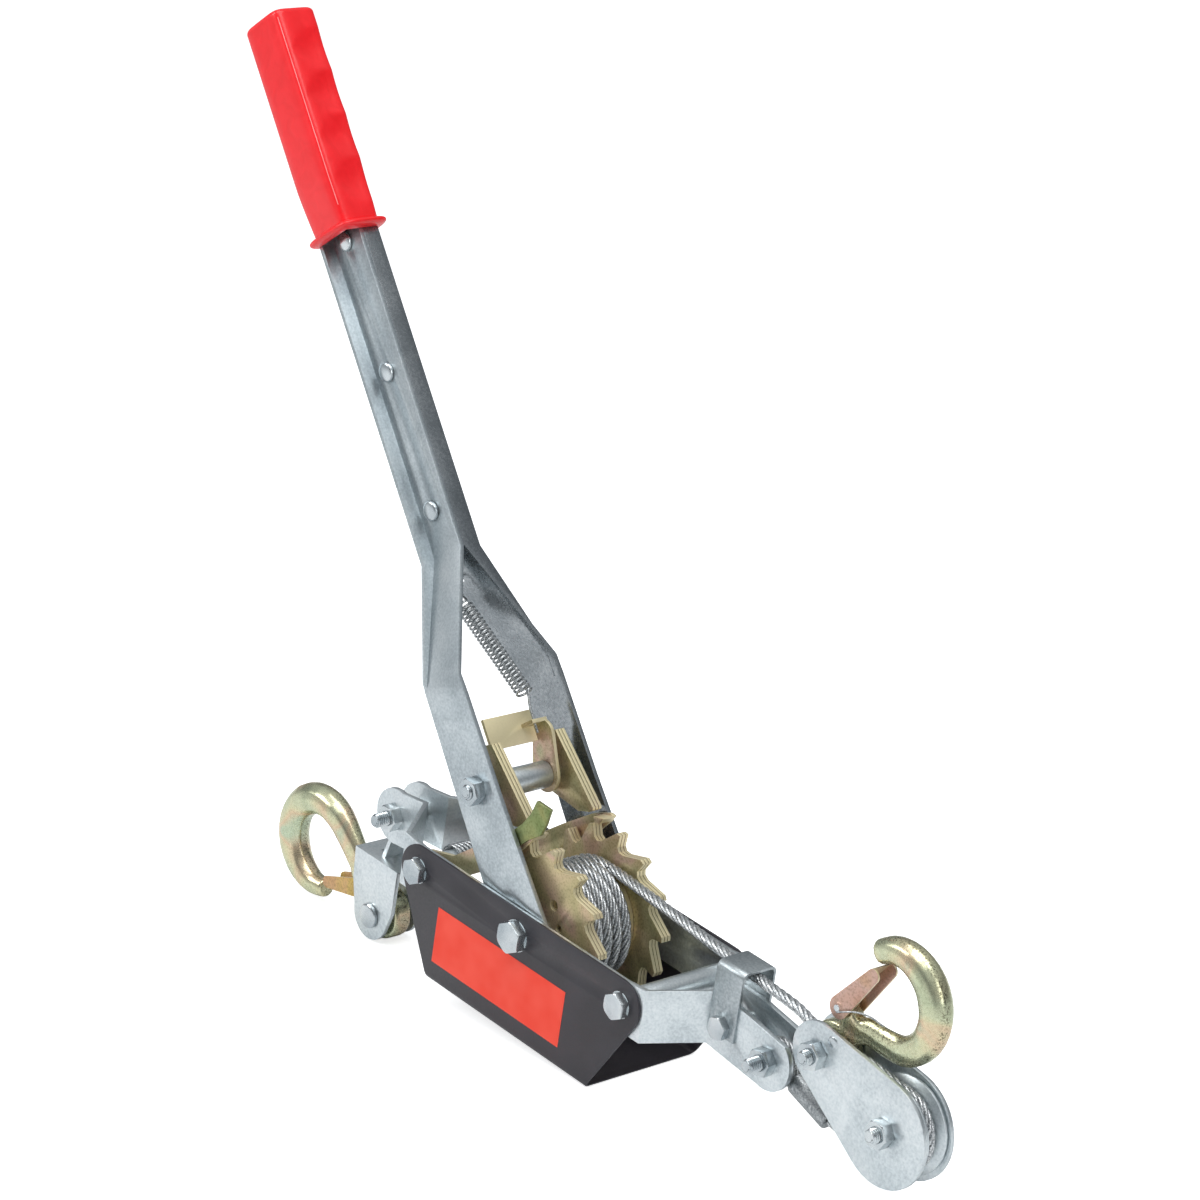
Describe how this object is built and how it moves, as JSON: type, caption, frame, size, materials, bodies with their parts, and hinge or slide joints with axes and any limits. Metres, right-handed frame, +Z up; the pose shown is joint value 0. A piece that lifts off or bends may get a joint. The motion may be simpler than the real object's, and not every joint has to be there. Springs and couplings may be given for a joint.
{
  "type": "come along winch",
  "caption": "Hand lever cable winch: folded frame with toothed wheels and cable drum, driving and holding pawls, sheave block and two latched hooks.",
  "frame": {"origin": "middle of the cover's underside", "axes": "+X towards the pulley block, -Y towards the side with the coloured sticker, +Z up; the frame lies nose down by 6 degrees, as it stands on a floor"},
  "size_m": [0.5678, 0.0964, 0.4936],
  "materials": {
    "zinc_steel": "bright zinc plate",
    "yellow_zinc": "yellow chromated zinc plate",
    "green_zinc": "green chromated zinc plate",
    "black_paint": "satin black paint",
    "red_grip": "glossy dipped vinyl",
    "wire_cable": "stranded galvanised wire"
  },
  "bodies": {
    "frame": {"cover": "black_paint", "frame_plate_front": "zinc_steel", "frame_plate_rear": "zinc_steel", "guide_strap": "zinc_steel", "guide_screw": "zinc_steel", "axle_bolt": "zinc_steel", "axle_nut": "zinc_steel", "rear_cross_bolt": "zinc_steel", "rear_cross_nut": "zinc_steel", "front_cross_bolt": "zinc_steel", "front_cross_nut": "zinc_steel", "hanger_bolt": "zinc_steel", "hanger_nut": "zinc_steel", "anchor_bolt": "zinc_steel", "anchor_nut": "zinc_steel", "front_spacer_tube": "zinc_steel", "holding_pawl_tube": "zinc_steel", "torsion_spring": "zinc_steel", "cable_anchor": "wire_cable", "cable_lead": "wire_cable", "cable_upper_span": "wire_cable", "cable_lower_span": "wire_cable"},
    "drum": {"front_wheel_inner": "yellow_zinc", "front_wheel_middle": "yellow_zinc", "front_wheel_outer": "yellow_zinc", "rear_wheel_inner": "yellow_zinc", "rear_wheel_middle": "yellow_zinc", "rear_wheel_outer": "yellow_zinc", "drum_core": "zinc_steel", "cable_winding": "wire_cable"},
    "handle": {"handle_half_front": "zinc_steel", "handle_half_rear": "zinc_steel", "grip": "red_grip", "handle_rivet_1": "zinc_steel", "handle_rivet_2": "zinc_steel", "handle_rivet_3": "zinc_steel", "pawl_bolt": "zinc_steel", "pawl_nut": "zinc_steel", "pawl_sleeve": "zinc_steel", "pawl_spring": "zinc_steel"},
    "drive_pawls": {"drive_pawl_front": "yellow_zinc", "drive_pawl_rear": "yellow_zinc", "pawl_carrier": "yellow_zinc"},
    "holding_pawls": {"holding_pawl_front": "yellow_zinc", "holding_pawl_rear": "yellow_zinc", "release_lever": "green_zinc"},
    "hanger": {"hook_hanger": "zinc_steel", "hanger_rivet": "zinc_steel"},
    "rear_hook": {"rear_hook": "yellow_zinc"},
    "rear_latch": {"rear_latch": "yellow_zinc"},
    "block": {"block_plate_front": "zinc_steel", "block_plate_rear": "zinc_steel", "hook_bolt": "zinc_steel", "hook_nut": "zinc_steel", "sheave_bolt": "zinc_steel", "sheave_nut": "zinc_steel", "cable_bight": "wire_cable"},
    "sheave": {"sheave": "zinc_steel"},
    "front_hook": {"front_hook": "yellow_zinc"},
    "front_latch": {"front_latch": "yellow_zinc"}
  },
  "joints": [
    {"name": "handle_swing", "type": "hinge", "parent": "frame", "child": "handle", "pos_m": [0.00596, 0, 0.05669], "axis": [0, 1, 0], "range_deg": [-25.71, 51.43]},
    {"name": "drum_turn", "type": "hinge", "parent": "frame", "child": "drum", "pos_m": [0.00596, 0, 0.05669], "axis": [0, 1, 0], "range_deg": [0, 1440], "deforming": ["cable_lead"]},
    {"name": "block_slide", "type": "slide", "parent": "frame", "child": "block", "axis": [1, 0, 0], "range_m": [0, 0.376], "deforming": ["cable_upper_span", "cable_lower_span"]},
    {"name": "sheave_spin", "type": "hinge", "parent": "block", "child": "sheave", "pos_m": [0.24794, 0, 0.03427], "axis": [0, 1, 0], "range_deg": [0, 1080]},
    {"name": "drive_pawl_turn", "type": "hinge", "parent": "handle", "child": "drive_pawls", "pos_m": [-0.03798, 0, 0.12175], "axis": [0, 1, 0], "range_deg": [0, 30], "deforming": ["pawl_spring"]},
    {"name": "holding_pawl_turn", "type": "hinge", "parent": "frame", "child": "holding_pawls", "pos_m": [-0.07559, 0, 0.06526], "axis": [0, 1, 0], "range_deg": [0, 2.8]},
    {"name": "hanger_swing", "type": "hinge", "parent": "frame", "child": "hanger", "pos_m": [-0.13228, 0, 0.07122], "axis": [0, 1, 0], "range_deg": [-35, 60]},
    {"name": "rear_hook_swing", "type": "hinge", "parent": "hanger", "child": "rear_hook", "pos_m": [-0.14693, 0, 0.0084], "axis": [0, 1, 0], "range_deg": [-90, 12]},
    {"name": "rear_latch_swing", "type": "hinge", "parent": "rear_hook", "child": "rear_latch", "pos_m": [-0.16718, 0, 0.01657], "axis": [0, 1, 0], "range_deg": [0, 30], "stiffness_Nm_per_rad": 0.02, "springref_deg": -28.65},
    {"name": "front_hook_swing", "type": "hinge", "parent": "block", "child": "front_hook", "pos_m": [0.199, 0, 0.05651], "axis": [0, 1, 0], "range_deg": [-40, 0]},
    {"name": "front_latch_swing", "type": "hinge", "parent": "front_hook", "child": "front_latch", "pos_m": [0.2036, 0, 0.08116], "axis": [0, 1, 0], "range_deg": [0, 35], "stiffness_Nm_per_rad": 0.02, "springref_deg": -28.65}
  ],
  "couplings": [
    {"joint": "block_slide", "follows": "drum_turn", "m_per_rad": 0.0149},
    {"joint": "sheave_spin", "follows": "drum_turn", "ratio": 0.745}
  ]
}
